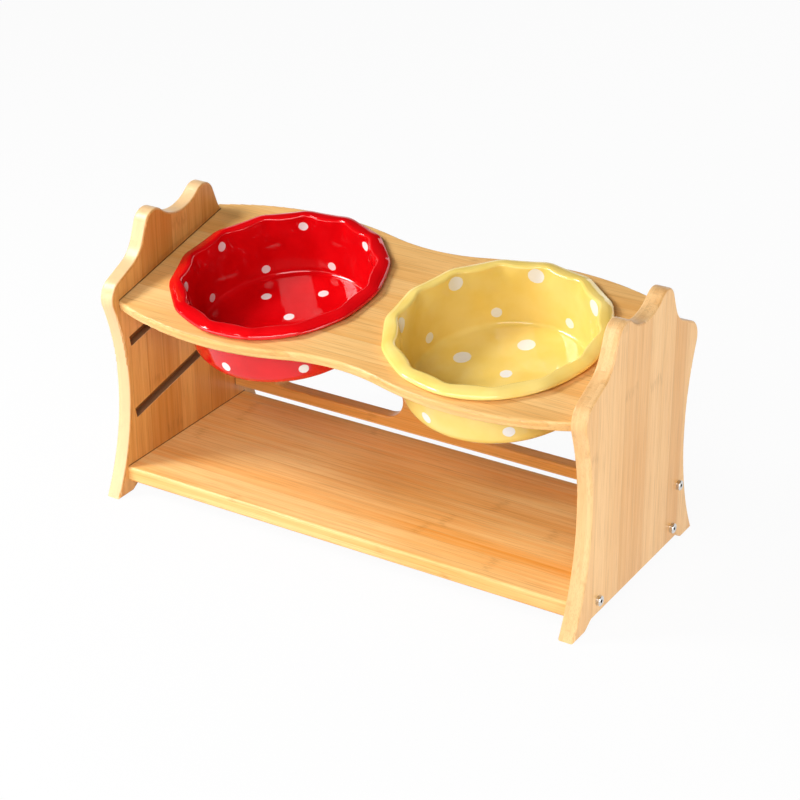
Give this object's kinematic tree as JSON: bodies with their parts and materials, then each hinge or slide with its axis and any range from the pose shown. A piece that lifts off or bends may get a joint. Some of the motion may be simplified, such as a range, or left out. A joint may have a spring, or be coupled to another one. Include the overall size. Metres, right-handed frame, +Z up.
{
  "type": "raised double bowl stand",
  "caption": "Bamboo stand that holds dotted ceramic bowls in a sloping lift-out top between shaped side panels, over a shelf and a slotted back rail.",
  "frame": {"origin": "on the floor, midway between the four feet", "axes": "+X along the stand towards the yellow bowl, -Y to the front, +Z up"},
  "size_m": [0.4054, 0.188, 0.2157],
  "materials": {
    "bamboo_upright": "satin lacquer",
    "bamboo_level": "satin lacquer",
    "red_glaze": "gloss glaze with white dots",
    "yellow_glaze": "gloss glaze with white dots",
    "screw_steel": "bright plated",
    "dowel_wood": "bare"
  },
  "bodies": {
    "frame": {"left_side_panel": "bamboo_upright", "right_side_panel": "bamboo_upright", "bottom_shelf": "bamboo_level", "back_rail": "bamboo_level", "left_shelf_front_screw": "screw_steel", "left_shelf_back_screw": "screw_steel", "left_rail_screw": "screw_steel", "right_shelf_front_screw": "screw_steel", "right_shelf_back_screw": "screw_steel", "right_rail_screw": "screw_steel", "left_rail_dowel": "dowel_wood", "right_rail_dowel": "dowel_wood"},
    "table": {"tabletop": "bamboo_level"},
    "red": {"red_bowl": "red_glaze"},
    "yellow": {"yellow_bowl": "yellow_glaze"}
  },
  "joints": [
    {"name": "tabletop_slide", "type": "slide", "parent": "frame", "child": "table", "axis": [0, 0.9763, 0.2164], "range_m": [0, 0.145]},
    {"name": "red_bowl_lift", "type": "slide", "parent": "table", "child": "red", "axis": [0, -0.2164, 0.9763], "range_m": [0, 0.06]},
    {"name": "yellow_bowl_lift", "type": "slide", "parent": "table", "child": "yellow", "axis": [0, -0.2164, 0.9763], "range_m": [0, 0.06]}
  ]
}
